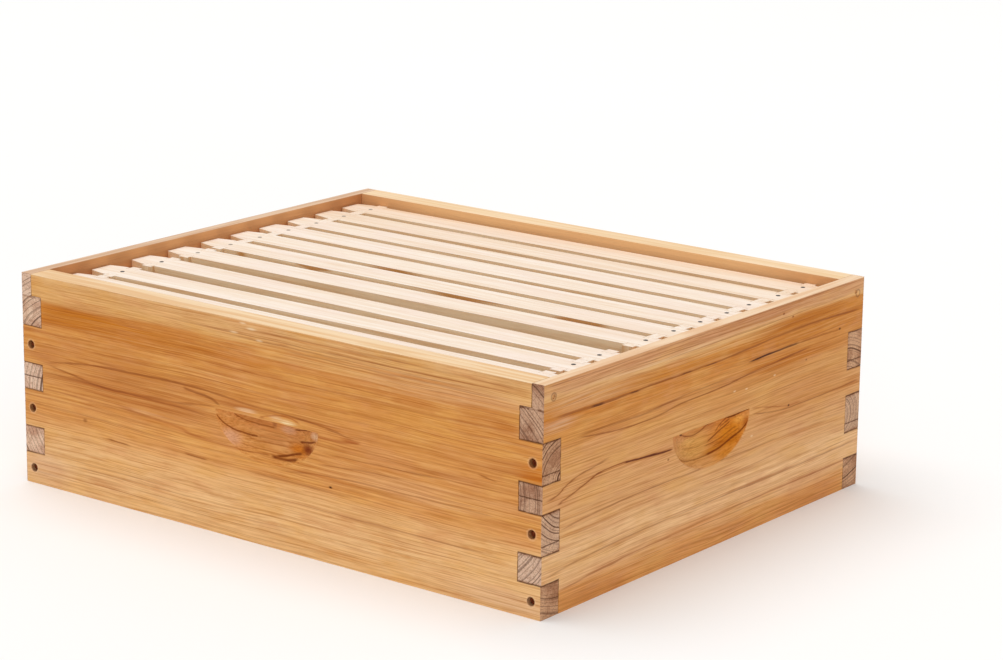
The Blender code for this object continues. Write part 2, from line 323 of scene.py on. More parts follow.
# the noises that a board's colour, gloss and relief are made of, and its growth rings: whole rings and
# their phase come from the distance to a pith behind the board, and late wood is the end of each phase
def boardPatterns(place, look):
    local = inMillimetres(place, look["turn"], look["faceDistance"])
    along, depth, height = axesOf(local)  # to the right as seen from outside, into the wood, up
    seed = look["seed"]
    size = boardGrain
    sway = noise(stretched(local, size["sway"], (seed, 0, 0)), 1.5) - 0.5
    ripple = noise(stretched(local, size["ripple"], (seed, seed, 0)), 1.0) - 0.5
    warped = height + sway * look["sway"] + ripple * size["rippleHeight"]
    grain = local.node("ShaderNodeCombineXYZ", {}, {0: along, 1: depth, 2: warped})
    wood = SimpleNamespace(along=along, depth=depth, height=height, warped=warped)
    wood.broad = noise(stretched(grain, size["broad"], (0, seed, 0)), 2.0)
    wood.streak = noise(stretched(grain, size["streak"], (0, 0, seed)), 2.5, 0.6)
    wood.line = noise(stretched(grain, size["line"], (seed, 0, seed)), 1.5)
    wood.fibre = noise(stretched(grain, size["fibre"], (seed, seed, 0)), 3.0, 0.6)
    wood.cloud = noise(stretched(local, size["cloud"], (0, seed, seed)), 3.0, 0.6)
    wood.mottle = noise(stretched(grain, size["mottle"], (seed, seed, seed)), 3.0, 0.6)
    wood.broken = rise(noise(stretched(grain, size["broken"], (seed, 0, 0)), 2.0, 0.6), 0.38, 0.62)
    wood.pore = noise(stretched(grain, size["pore"], (0, seed, 0)), 2.0, 0.6)
    wood.speck = noise(stretched(local, size["speck"]), 3.0)
    wood.gappy = 0.25 + rise(wood.mottle, 0.35, 0.6) * 0.6

    upward = warped - (along * look["pithSlope"] + look["pithHeight"])
    inward = look["pithDepth"] - depth
    rings = (upward * upward + inward * inward) ** 0.5 / look["ringWidth"] + seed
    uneven = rings + (noise(stretched(rings, size["ringRhythm"]), 1.5) - 0.5) * 2.0
    wood.phase = uneven.math("FRACT", uneven)
    ringNumber = uneven.math("FLOOR", uneven)
    wood.accent = uneven.node("ShaderNodeTexWhiteNoise", {"noise_dimensions": "1D"}, {"W": ringNumber})
    wood.late = rise(wood.phase, 0.4, 0.92) * (1 - rise(wood.phase, 0.93, 1.0))

    reach, deepest = size["scoopHalfWidth"], size["scoopDepth"]
    low, high = size["scoopLow"], size["scoopHigh"]
    inScoop = rise(depth, 0.25, 0.9) * (1 - rise(depth, deepest, deepest + 1))
    inScoop = inScoop * (1 - rise(abs(along), reach, reach + 1))
    wood.inScoop = inScoop * rise(height, low, low + 1) * (1 - rise(height, high - 1, high))
    wood.onEnd = rise(abs(along), look["halfSpan"] - 0.55, look["halfSpan"] - 0.25)
    return wood


def drifted(value, wood, drift):  # a value pushed up and down by some of the board's patterns
    for pattern, amount in boardGrain[drift].items():
        value = value + (getattr(wood, pattern) - 0.5) * amount
    return value


# bands up the board, clouded and streaked, then stains and painted highlights that follow the streaks, late
# wood and fine lines
def faceColour(wood, look):
    bandPlace = drifted(wood.warped, wood, "bandDrift") / boxHeight
    stops = [(level / boxHeight, rgb(*colour)) for level, colour in look["bands"]]
    colour = bandPlace.node("ShaderNodeValToRGB", {"stops": stops}, {"Fac": bandPlace})
    colour = mix(rise(wood.cloud, 0.48, 0.68) * 0.4, colour, rgb(*look["golden"]))
    colour = mix((1 - rise(wood.cloud, 0.32, 0.48)) * 0.35, colour, rgb(*look["pink"]))
    colour = mix(rise(wood.mottle, 0.5, 0.7) * look["mottled"], colour, rgb(*look["streakPale"]))
    colour = mix((1 - rise(wood.mottle, 0.3, 0.5)) * look["mottled"], colour, rgb(*look["streakDark"]))
    colour = mix(rise(wood.streak, 0.52, 0.7) * 0.3, colour, rgb(*look["streakPale"]))
    colour = mix((1 - rise(wood.streak, 0.32, 0.48)) * 0.4, colour, rgb(*look["streakDark"]))
    height = drifted(wood.height, wood, "stainDrift")
    streaked = 0.35 + rise(wood.streak, 0.35, 0.6)
    for each in look["stains"]:
        colour = mix(softPatch(wood.along, height, each) * streaked, colour, rgb(*each["colour"]))
    ringShare = wood.late * (0.04 + wood.accent * wood.accent * 0.9) * (0.15 + wood.broken * 0.85)
    colour = mix(ringShare * look["ringContrast"], colour, rgb(*look["lateColour"]))
    lineShare = rise(wood.line, 0.56, 0.7) * (0.1 + wood.broken * 0.22)
    colour = mix(lineShare, colour, rgb(*look["lateColour"]))
    return mix((1 - rise(wood.line, 0.3, 0.42)) * 0.22, colour, rgb(*look["streakPale"]))


def drawLines(colour, lines, place, look):  # each line lies on a wider, fainter halo
    halfSpan = look["halfSpan"]
    alongShare = (place["along"] / halfSpan + 1) * 0.5
    for each in lines:
        core, halo = vein(place, alongShare, halfSpan, each)
        colour = mix(halo * 0.3, colour, rgb(*look["haloColour"]))
        colour = mix(core, colour, rgb(*each["colour"]))
    return colour


# the figure of a hand hold: the layers that the scoop cuts through lean, so the figure shifts with depth
def scoopFigure(colour, wood, look):
    leanAlong, leanUp = look["scoopLean"]
    along = wood.along + wood.depth * leanAlong
    height = drifted(wood.height + wood.depth * leanUp, wood, "scoopDrift")
    colour = tint(wood.inScoop * look["scoopShare"], colour, rgb(*look["scoopColour"]))
    for each in look["scoopStains"]:
        colour = mix(softPatch(along, height, each) * wood.inScoop, colour, rgb(*each["colour"]))
    place = {"along": along, "height": height, "mask": wood.inScoop}
    return drawLines(colour, look["scoopLines"], place, look)


# drawn lines with ragged edges and small flecks on the outside, then fibres and pores over everything
def faceFigure(colour, wood, look):
    onFace = (0.6 + wood.broken * 0.4) * (1 - wood.inScoop) * (1 - rise(wood.depth, 1, 2))
    place = {"along": wood.along, "height": drifted(wood.height, wood, "veinDrift"), "mask": onFace}
    colour = drawLines(colour, look["veins"], place, look)
    height = drifted(wood.height, wood, "fleckDrift")
    for each in look["flecks"]:
        colour = mix(softPatch(wood.along, height, each), colour, rgb(*each["colour"]))
    colour = tint(rise(wood.fibre, 0.42, 0.68) * 0.7, colour, rgb(*look["fibreColour"]))
    return tint(rise(wood.pore, 0.45, 0.66) * 0.3, colour, rgb(*look["fibreColour"]))


# painted shade at the joint gaps, inner faces in lighter painted light with painted shade in the corners,
# a painted sheen on the top rim, nail holes with painted shade inside, and filled nails
def edgesAndHoles(colour, wood, look):
    size = boardGrain
    halfSpan = look["halfSpan"]
    fromMiddle = abs(wood.along)
    # painted shade: dark lines along the joint gaps where the other board's fingers meet this face
    for notch in look["notches"]:
        share = seam(halfSpan - fromMiddle, wood.height, notch) * wood.gappy
        colour = mix(share, colour, rgb(*look["seamColour"]))
    # painted light: the inner faces get their own lighter colour, standing in for light that falls inside
    # the box
    inside = rise(wood.depth, look["innerFrom"], look["innerFrom"] + 0.4) * (1 - wood.inScoop)
    colour = mix(inside * 0.75, colour, rgb(*look["innerColour"]))
    # painted shade: the inner faces are darkened towards the board's ends, where shade falls in the inner
    # corners
    cornerShade = rise(fromMiddle, halfSpan - size["cornerFrom"], halfSpan - size["cornerTo"])
    colour = tint(inside * cornerShade * 0.4, colour, rgb(*size["cornerColour"]))
    # painted sheen: the top faces are painted paler, standing in for the grazing reflection of the white
    # sky
    topSheen = rise(wood.height, boxHeight - 0.6, boxHeight - 0.25) * (1 - wood.onEnd)
    rimColour = mix(rise(wood.streak, 0.4, 0.6), rgb(*look["rimDark"]), rgb(*look["rimColour"]))
    colour = mix(topSheen * look["rimShare"] * (1 - inside * 0.6), colour, rimColour)
    for level in look["holes"]:
        middle = (halfSpan - look["holeInset"], level)
        off = drifted(spot(fromMiddle, wood.height, middle), wood, "holeDrift")
        halo = 1 - rise(off, size["holeEdge"], size["holeHalo"])
        colour = mix(halo * 0.2, colour, rgb(*look["holeRing"]))
        # painted shade: the inside of each nail hole is painted dark, with a dark stain at its edge, as the
        # recess lies in shade
        hollowShade = 1 - rise(off, size["holeFloor"], size["holeEdge"])
        colour = mix(hollowShade * 0.75, colour, rgb(*look["holeDark"]))
    for middle in look["pegs"]:
        off = drifted(spot(wood.along, wood.height, middle), wood, "pegDrift")
        edge = 1 - rise(abs(off - size["pegRadius"]), 0.3, 1.0)
        colour = mix(edge * 0.5, colour, rgb(*look["holeDark"]))
    return colour


# end grain: clouded pale and brown, some fingers lighter, thin ring lines, specks, cracks, and painted
# shade at the joint gaps
def endGrain(wood, look):
    thinLate = rise(wood.phase, 0.62, 0.88) * (1 - rise(wood.phase, 0.9, 1.0))
    colour = mix(rise(wood.cloud, 0.35, 0.65), rgb(*look["endPale"]), rgb(*look["endBrown"]))
    for level, reach, strength in look["endLight"]:
        share = (1 - rise(abs(wood.height - level), reach * 0.8, reach)) * strength
        colour = mix(share, colour, rgb(*look["endWhite"]))
    colour = mix(thinLate * (0.35 + wood.accent * 0.65), colour, rgb(*look["endDark"]))
    colour = tint(rise(wood.speck, 0.42, 0.7) * 0.7, colour, rgb(*boardGrain["speckColour"]))
    # painted shade: dark lines along the joint gaps at the fingers' edges
    for level in look["endEdges"]:
        edge = (1 - rise(abs(wood.height - level), 0.3, 1.2)) * wood.gappy
        colour = mix(edge, colour, rgb(*look["seamColour"]))
    wavy = drifted(wood.height, wood, "crackDrift")
    for level in look["endCracks"]:
        crack = 1 - rise(abs(wavy - level), 0.25, 0.7)
        colour = mix(crack * 0.8, colour, rgb(*look["endDark"]))
    return colour


# waxed softwood of one board: its face, hand hold, edges and end grain
def boardWood(name, look):
    material, shader, place = newMaterial(name)
    wood = boardPatterns(place, look)
    colour = faceColour(wood, look)
    colour = scoopFigure(colour, wood, look)
    colour = faceFigure(colour, wood, look)
    colour = edgesAndHoles(colour, wood, look)
    plug(shader, "Base Color", mix(wood.onEnd, colour, endGrain(wood, look)))
    plug(shader, "Roughness", 0.55 - wood.late * 0.08 + (wood.fibre - 0.5) * 0.2 + wood.onEnd * 0.2)
    shader.inputs["Specular IOR Level"].default_value = boardGrain["gloss"]
    shader.inputs["Coat Weight"].default_value = boardGrain["waxCoat"]
    shader.inputs["Coat Roughness"].default_value = boardGrain["waxRoughness"]
    relief = wood.late * 0.35 + wood.fibre * 0.65 + wood.speck * wood.onEnd
    plug(shader, "Normal", bump(relief, boardGrain))
    return material


# the corner joint, in millimetres: heights of its steps, depth of its notches, depth of the rim above them,
# and how far the lowest and highest notches run on past the board
joint = {"steps": (25, 46, 76, 97, 127, 150), "notchDepth": 20, "rimDepth": 9.8, "past": 2}


def notches(lows, highs):  # openings in a board's end, each from a low step to a high one
    return [(low, high, joint["notchDepth"]) for low, high in zip(lows, highs)]


lowSteps, highSteps = joint["steps"][::2], joint["steps"][1::2]
rimNotch = (highSteps[-1], boxHeight + joint["past"], joint["rimDepth"])

brown = (136, 64, 14)
reddish = (168, 82, 30)
orange = (206, 120, 26)
nearBlack = (70, 26, 4)
waxPale = (246, 218, 178)

frontBoard = {
    "turn": 0, "faceDistance": halfWidth, "halfSpan": halfLength, "seed": 3.7,
    "pithDepth": 25, "pithHeight": 97, "pithSlope": -0.004, "ringWidth": 2.6, "sway": 6,
    "ringContrast": 0.6, "mottled": 0.2,
    "bands": [
        (0, (240, 194, 136)), (24, (242, 198, 142)), (44, (238, 188, 128)), (58, (224, 160, 92)),
        (96, (222, 156, 86)), (124, (220, 152, 78)), (131, (213, 144, 74)), (148, (213, 144, 74)),
        (153, (230, 178, 112)), (168, (230, 182, 124)),
    ],
    "golden": (232, 172, 88), "pink": (224, 160, 106), "streakPale": (242, 190, 124),
    "streakDark": (200, 122, 44), "lateColour": (166, 86, 24), "fibreColour": (220, 200, 174),
    # the rim colours are a painted sheen
    "rimColour": (250, 224, 186), "rimDark": (238, 198, 150), "rimShare": 0.8,
    # the inner colour is painted light on the inner faces
    "innerFrom": 19.3, "innerColour": (214, 160, 104),
    "scoopShare": 0.2, "scoopColour": (250, 226, 190),
    "endPale": (214, 168, 130), "endBrown": (176, 126, 92), "endWhite": (228, 194, 164),
    "endDark": (84, 44, 22), "endCracks": (104, 53.3), "endEdges": joint["steps"][:-1],
    "endLight": ((61, 15, 0.5),), "seamColour": (96, 48, 20), "haloColour": (196, 114, 40),
    "notches": [*notches(lowSteps, highSteps), rimNotch],
    "holes": (12.5, 61, 112), "holeInset": 8.5, "holeDark": (104, 42, 10), "holeRing": (240, 206, 164),
    "pegs": (),
    "veins": [
        drawn([(-230, 100), (-202, 104), (-177, 106.6), (-127, 108.3), (-77, 109), (-44, 107.5),
               (-19, 105.3), (33, 103.6), (67, 100), (86, 96.6)], 1.2, 0.6, brown),
        drawn([(-84, 106.6), (-70, 105), (-57, 103.7), (-48.7, 101.2), (-44, 98.8)], 1.5, 0.75, brown, 5),
        drawn([(-8, 97), (3.7, 100.6), (10, 101.9), (20, 102.5), (34, 99.4)], 1.0, 0.6, reddish, 4),
        drawn([(-230, 99.5), (-202, 95.8), (-177, 92.5), (-152, 91.3), (-119, 92.5), (-86, 94),
               (-61, 96.6), (-48, 98)], 1.2, 0.6, brown),
        drawn([(-232, 92.7), (-177, 92), (-111, 90.8), (-77, 90.3), (-54, 87.8)], 1.0, 0.45, brown),
        drawn([(-160, 80.5), (-119, 77), (-86, 74), (-76, 71.8), (-44, 70), (4, 70)],
              1.7, 0.55, reddish, 24),
        drawn([(40, 93.6), (62, 93.8), (80, 94.6), (92, 97)], 1.3, 0.5, reddish, 6),
        drawn([(-84, 56), (-57, 55)], 0.9, 0.6, brown, 6),
        drawn([(-166, 51.6), (-136, 50.3)], 0.9, 0.6, brown, 8),
        drawn([(-234, 22), (-60, 22.4)], 0.9, 0.35, brown, 60),
        drawn([(-234, 26.5), (-90, 26)], 0.9, 0.35, brown, 60),
        drawn([(-40, 162), (120, 162.4), (250, 162)], 0.9, 0.4, brown, 50),
        drawn([(-120, 158), (60, 157.6), (250, 158)], 0.9, 0.35, brown, 60),
        drawn([(-60, 155.5), (120, 155), (234, 155.4)], 0.9, 0.4, brown, 60),
        drawn([(0, 152.5), (120, 152), (234, 152.6)], 0.9, 0.4, brown, 50),
        drawn([(50, 81.6), (110, 83.6), (170, 85)], 0.9, 0.4, brown, 20),
        drawn([(45, 72.5), (107, 77), (140, 78)], 0.9, 0.4, brown, 20),
        drawn([(6, 60), (67, 66), (140, 67), (222, 67)], 0.9, 0.4, brown, 24),
        drawn([(195, 95), (215, 92)], 0.8, 0.5, brown, 6),
        drawn([(-20, 54), (40, 54.4), (90, 54)], 0.9, 0.4, brown, 20),
        drawn([(-60, 38.5), (80, 38.8), (234, 38)], 0.9, 0.35, brown, 60),
    ],
    "stains": [
        patch(-132, 100, (104, 9), 0.5, (194, 120, 50)), patch(-190, 146, (70, 4), 0.8, (192, 110, 26)),
        patch(-205, 133, (60, 4), 0.8, (192, 110, 26)), patch(-150, 140, (170, 16), 0.9, (200, 120, 22)),
        patch(-150, 114, (100, 12), 0.4, (194, 120, 48)), patch(175, 150, (120, 9), 0.5, (236, 188, 138)),
        patch(-135, 89, (130, 13), 0.75, (198, 126, 60)), patch(-28, 106, (44, 10), 0.65, (202, 130, 66)),
        patch(130, 71, (110, 12), 0.45, (236, 184, 130)), patch(-230, 106, (36, 11), 0.5, (202, 130, 72)),
        patch(220, 8, (70, 12), 0.7, (240, 200, 158)), patch(-230, 16, (40, 20), 0.45, (226, 184, 150)),
        patch(-20, 138, (60, 10), 0.4, (206, 128, 40)), patch(245, 104, (22, 12), 0.9, orange),
        patch(222, 107, (34, 9), 0.5, (200, 128, 64)), patch(220, 133, (16, 7), 0.5, (196, 118, 40)),
        patch(80, 97, (12, 3), 0.6, reddish), patch(-120, 80.5, (40, 2.6), 0.45, (232, 180, 136)),
        patch(-20, 100.6, (14, 3), 0.8, (242, 196, 150)),
        # painted highlight: the next two pale patches stand for light caught on the hand hold's top edge
        patch(21, 98.8, (12, 2.4), 1.0, (252, 226, 176)),
        patch(10, 99.6, (10, 2.4), 0.7, (240, 198, 150)),
    ],
    "scoopLean": (0.77, 0.33),
    "scoopStains": [
        patch(-35, 77.5, (15, 9.5), 0.7, (226, 172, 138)), patch(-12, 94.4, (24, 3), 0.5, (190, 122, 54)),
        patch(7.1, 94.3, (3.6, 4.4), 0.6, (158, 92, 44)),
        patch(21, 92.6, (11, 4.4), 0.7, (228, 178, 140)), patch(47, 93, (6, 4.6), 0.75, (240, 202, 164)),
        patch(32, 80.2, (15, 8), 0.9, (214, 124, 20)), patch(40.4, 81.6, (8.4, 6.4), 0.95, (136, 56, 0)),
        patch(-10, 86.6, (26, 4), 0.4, (236, 176, 108)), patch(14, 77, (14, 4), 0.4, (232, 170, 100)),
    ],
    "scoopLines": [
        drawn([(-51.4, 95.7), (-49.3, 92.1), (-45, 88.6), (-38.6, 85.4), (-30, 83.2), (-20, 82.5),
               (-8, 82.5)], 1.0, 0.85, (140, 68, 16), 3),
        drawn([(-33.6, 96.4), (-29.3, 94.6), (-20, 92.5), (-8.6, 91.8), (1.4, 91.8), (8, 91.9)],
              0.8, 0.7, (146, 78, 20), 3),
        drawn([(25.7, 93.6), (34.3, 95.2), (43.6, 96.4)], 0.8, 0.85, (118, 58, 10), 3),
        drawn([(31, 85.6), (43.6, 87.9), (49, 89.4)], 1.1, 0.9, (126, 58, 2), 3),
        drawn([(3, 70.4), (16.4, 69.8), (25.7, 71), (32, 73.1)], 1.6, 0.9, (122, 56, 2), 5),
        drawn([(8, 71), (18.6, 72.9), (27.1, 75.7), (37, 78)], 1.5, 0.9, (128, 60, 2), 5),
        drawn([(-50, 70.6), (-42, 70), (-20, 69.4), (-8.6, 70), (4, 70.4)], 0.9, 0.55, (160, 86, 34), 4),
        drawn([(-12, 82.5), (11.4, 83.2), (33, 85.6)], 0.7, 0.4, (170, 98, 34), 6),
    ],
    "flecks": [
        patch(62, 58, (2.4, 1.2), 1.0, nearBlack), patch(-186.6, 61.6, (3.4, 2.6), 0.5, brown),
        patch(-246.6, 162.5, (1.9, 1.7), 0.9, nearBlack), patch(-14, 163, (7, 1.5), 0.8, waxPale),
        patch(-31, 158, (6, 1.2), 0.7, waxPale), patch(-6, 155.5, (5, 1.2), 0.7, waxPale),
        patch(-22, 166, (5, 1), 0.7, waxPale),
    ],
}
rightBoard = {
    "turn": -math.pi / 2, "faceDistance": halfLength, "halfSpan": halfWidth, "seed": 11.2,
    "pithDepth": 66, "pithHeight": 86, "pithSlope": 0.012, "ringWidth": 4.1, "sway": 7,
    "ringContrast": 0.55, "mottled": 0.12,
    "bands": [
        (0, (230, 162, 92)), (14, (232, 166, 98)), (20, (240, 190, 136)), (40, (248, 203, 150)),
        (62, (230, 176, 118)), (84, (226, 168, 108)), (112, (226, 166, 98)), (130, (220, 150, 74)),
        (141, (210, 132, 46)), (150, (214, 142, 60)), (155, (236, 186, 124)), (160, (222, 168, 118)),
        (168, (222, 166, 118)),
    ],
    "golden": (232, 176, 98), "pink": (222, 160, 114), "streakPale": (238, 190, 132),
    "streakDark": (198, 124, 52), "lateColour": (158, 84, 28), "fibreColour": (222, 202, 178),
    # the rim colours are a painted sheen
    "rimColour": (248, 220, 186), "rimDark": (238, 198, 158), "rimShare": 0.85,
    # the inner colour is painted light on the inner faces and the rabbet
    "innerFrom": 9.35, "innerColour": (246, 202, 148),
    "scoopShare": 0.45, "scoopColour": (255, 222, 160),
    "endPale": (204, 164, 134), "endBrown": (168, 122, 94), "endWhite": (230, 200, 176),
    "endDark": (78, 42, 24), "endCracks": (86.6,), "endEdges": joint["steps"],
    "endLight": ((35.5, 10.5, 0.6),), "seamColour": (96, 50, 24), "haloColour": (198, 116, 42),
    "notches": notches((-joint["past"], *highSteps[:-1]), lowSteps),
    "holes": (), "holeInset": 0, "holeDark": (120, 74, 44), "holeRing": waxPale,
    "pegs": ((-195, 158), (198, 156.6)),
    "veins": [
        drawn([(-206, 166), (-120, 165.6), (0, 166.4), (206, 167)], 0.7, 0.5, brown, 20),
        drawn([(-160, 163), (-20, 163.6), (120, 164.4)], 0.6, 0.4, reddish, 30),
        drawn([(-206, 159.6), (-60, 160.2), (60, 161)], 0.6, 0.4, brown, 40),
        drawn([(-80, 156.6), (60, 157), (206, 158.4)], 0.6, 0.4, brown, 40),
        drawn([(-196, 142.6), (-143, 141.6), (-68, 141.8), (0, 141.6), (50, 143), (100, 145), (158, 145),
               (206, 143)], 1.1, 0.7, brown),
        drawn([(-154, 141.6), (-134, 141.4)], 1.0, 0.85, nearBlack, 7),
        drawn([(-108, 141.2), (-92, 141.2)], 0.9, 0.7, nearBlack, 6),
        drawn([(-44, 141.6), (-26, 141.6)], 0.9, 0.7, nearBlack, 6),
        drawn([(-14, 141.4), (6, 141.4)], 0.9, 0.7, nearBlack, 6),
        drawn([(-172, 124.8), (-123, 123), (-81, 122.5), (-40, 125), (0, 125.8), (30, 126)],
              1.1, 0.5, brown, 20),
        drawn([(-168, 123), (-136, 119), (-113, 117), (-65, 117.5), (-40, 120), (0, 120.3), (67, 124.6),
               (136, 127)], 0.9, 0.7, brown, 16),
        drawn([(44, 132.4), (67, 133), (118, 133.6)], 1.1, 1.0, nearBlack, 9),
        drawn([(110, 133.4), (178, 132.6)], 0.8, 0.55, brown, 10),
        drawn([(-206, 85), (-190, 86.3), (-180, 90.8), (-165, 95), (-151, 97), (-124, 100)],
              1.0, 0.75, brown),
        drawn([(-190, 79.6), (-173, 83), (-156, 87.5), (-140, 91.6), (-126, 92), (-111, 91.6), (-90, 90),
               (-49, 87.5)], 0.9, 0.8, brown, 5),
        drawn([(-112, 91.4), (-84, 89.6), (-50, 87.6)], 1.0, 0.9, (96, 40, 14), 5),
        drawn([(-190, 59.8), (-156, 62.5), (-136, 63.6), (-80, 65), (-26, 64.6), (98, 64)],
              0.9, 0.5, brown, 20),
        drawn([(-206, 29), (-173, 32.5), (-123, 35), (0, 35.8), (206, 36.6)], 1.0, 0.45, brown, 16),
        drawn([(-190, 15.6), (-131, 20), (0, 23.3), (206, 24)], 1.1, 0.5, reddish, 16),
        drawn([(50, 96), (80, 90.8), (100, 87), (122, 87)], 1.0, 0.6, reddish, 8),
        drawn([(52, 91.5), (78, 87), (93, 85.4), (150, 85), (206, 86)], 0.9, 0.6, brown, 8),
    ],
    "stains": [
        patch(130, 139, (90, 12), 0.6, (200, 124, 40)), patch(-140, 6, (60, 10), 0.25, (200, 118, 40)),
        patch(150, 6, (40, 12), 0.3, (196, 112, 58)), patch(190, 86, (34, 5), 0.55, (198, 122, 54)),
        patch(-70, 147, (120, 5), 0.5, (210, 136, 48)), patch(130, 92, (94, 26), 0.5, (206, 136, 64)),
        patch(-145, 150, (90, 8), 0.5, (234, 190, 146)), patch(120, 150, (100, 8), 0.9, (196, 118, 32)),
        patch(105, 122, (125, 12), 0.9, (202, 124, 40)), patch(20, 108, (40, 12), 0.45, (206, 134, 62)),
        patch(-20, 23, (70, 8), 0.45, (222, 146, 72)), patch(-188, 137, (30, 8), 0.6, (230, 184, 144)),
        patch(-60, 158.4, (150, 2.2), 0.5, (242, 202, 152)),
        patch(60, 154.6, (150, 2), 0.4, (242, 196, 130)),
    ],
    "scoopLean": (-1.3, 0.425),
    "scoopStains": [
        patch(-24, 84, (34, 18), 0.75, (232, 176, 92)), patch(24, 82, (36, 24), 0.95, (222, 136, 20)),
        patch(2, 74.6, (20, 4), 0.75, (206, 124, 12)), patch(22, 77.4, (26, 4.4), 0.7, (196, 110, 6)),
        patch(46, 86, (7, 7), 0.8, (172, 84, 4)), patch(35, 91.1, (9, 4.4), 0.75, (240, 172, 76)),
        patch(-40, 92, (12, 6), 0.5, (222, 164, 108)), patch(-28, 88, (14, 3), 0.5, (244, 196, 116)),
        patch(16, 68, (22, 5), 0.6, (222, 140, 36)), patch(36, 72, (8, 6), 0.5, (206, 116, 26)),
    ],
    "scoopLines": [
        drawn([(-42, 95.6), (-37, 94.6)], 1.0, 0.9, nearBlack, 2),
        drawn([(-39.6, 95.1), (-31.4, 92.2), (-22.9, 91.1), (-15.7, 91.9), (-7.1, 94.7), (-1, 96.2)],
              0.9, 0.7, (150, 76, 24), 3),
        drawn([(-49, 81.4), (-42.1, 77.6), (-31.4, 74), (-20, 72.6), (-5.7, 72.6), (5.7, 73.6)],
              0.8, 0.65, (156, 88, 22), 4),
        drawn([(-8, 72.8), (5.7, 73.6), (15, 75.4), (25.7, 78.3), (36.4, 81.1), (42.9, 84), (49.6, 89.6)],
              1.3, 0.9, (134, 62, 0), 5),
        drawn([(4, 86), (7.1, 88.6), (14.3, 93.3), (22, 96)], 0.7, 0.75, (134, 62, 4), 3),
        drawn([(-6, 82), (2.9, 84.7), (11.4, 87.2), (18.6, 89.4), (26, 92.2)], 0.8, 0.8, (126, 54, 0), 4),
        drawn([(10, 89), (18, 92), (25, 94.4)], 0.6, 0.75, (120, 50, 0), 3),
        drawn([(-10, 79.4), (8.6, 81), (18.6, 83), (26, 84.9), (34, 86.3)], 0.7, 0.6, (150, 76, 2), 5),
        drawn([(0, 77), (12, 78.4), (24, 81.4), (38, 84.4)], 0.7, 0.5, (156, 80, 2), 5),
        drawn([(18, 95.5), (29.3, 94.9), (40, 95.8), (50, 96.2)], 0.9, 0.9, (112, 56, 4), 4),
        drawn([(-2, 62.9), (7.9, 62.6), (18.6, 64), (28, 65.6)], 0.9, 0.8, (120, 62, 4), 5),
        drawn([(-40, 85), (-26, 82), (-12, 81)], 0.7, 0.4, (170, 102, 40), 6),
    ],
    "flecks": [
        patch(92, 160.5, (2.2, 1.4), 0.8, brown), patch(105, 155.8, (2.2, 1.2), 0.8, brown),
        patch(173, 133, (2.2, 1.4), 0.9, nearBlack), patch(103, 87, (2, 1.3), 0.9, nearBlack),
        patch(-56, 81, (2, 1.5), 0.7, brown), patch(126, 118, (2, 1.2), 0.7, brown),
        patch(28, 114, (2.6, 1), 0.7, waxPale), patch(44, 112.5, (2.4, 1), 0.7, waxPale),
        patch(82, 115, (2.4, 1), 0.7, waxPale), patch(53, 74, (2.4, 1), 0.7, waxPale),
    ],
}
# the layers that show in a hand hold of the rear and left boards, as arcs one inside the other
layerArcs = [
    drawn([(-50, 92), (-36, 78), (-18, 70.6), (4, 69), (28, 73), (48, 88)], 0.9, 0.6, brown, 6),
    drawn([(-43, 94), (-29, 83), (-12, 77.4), (8, 76.6), (28, 81), (42, 92)], 0.8, 0.5, reddish, 6),
    drawn([(-33, 95), (-20, 88), (-5, 84), (12, 84), (26, 88), (35, 95)], 0.8, 0.5, reddish, 6),
    drawn([(-20, 95.5), (-8, 91.6), (6, 90.4), (20, 95)], 0.7, 0.45, brown, 6),
]
rearBoard = dict(
    # the rear board's inner colour is painted light
    frontBoard, turn=math.pi, seed=23.1, pithHeight=60, veins=[], stains=[], scoopStains=[], flecks=[],
    # the rear rim colours are a painted sheen
    scoopLines=layerArcs, scoopLean=(0.2, 0.3), innerColour=(244, 197, 143), rimColour=(252, 226, 190),
    rimDark=(244, 210, 164), rimShare=0.85,
)
leftBoard = dict(
    rightBoard, turn=math.pi / 2, seed=31.9, pithHeight=70, veins=[], stains=[], scoopStains=[], flecks=[],
    # the left rim colours are a painted sheen
    pegs=((-195, 158), (195, 158)), scoopLines=layerArcs, scoopLean=(-0.3, 0.2), rimColour=(234, 204, 174),
    # the left board's inner colour is painted light
    rimDark=(214, 176, 144), innerColour=(226, 166, 112), endPale=(232, 198, 170), endBrown=(200, 156, 128),
    seamColour=(150, 104, 74), endLight=((159, 10, 0.6), (86.5, 10.5, 0.4)),
)
boardLooks = {
    "front_side_board": frontBoard, "rear_side_board": rearBoard,
    "right_end_board": rightBoard, "left_end_board": leftBoard,
}
for nodeName, look in boardLooks.items():
    nodes[nodeName].data.materials[0] = boardWood(nodeName + "_wood", look)
print("boards finished")


# what all the frames' wood shares: sizes of the patterns, in millimetres, and how it takes the light
frameGrain = {
    "streak": (160, 4), "fibre": (26, 0.7),  # along the grain and across it
    "shade": (900, 19, 900), "cloud": (50, 22, 22), "farFrom": 80, "farTo": 175, "smearAcross": 4,
    "smearFrom": 4, "smearTo": 9, "gloss": 0.3, "bumpStrength": 0.3, "bumpHeight": 0.0002,
}
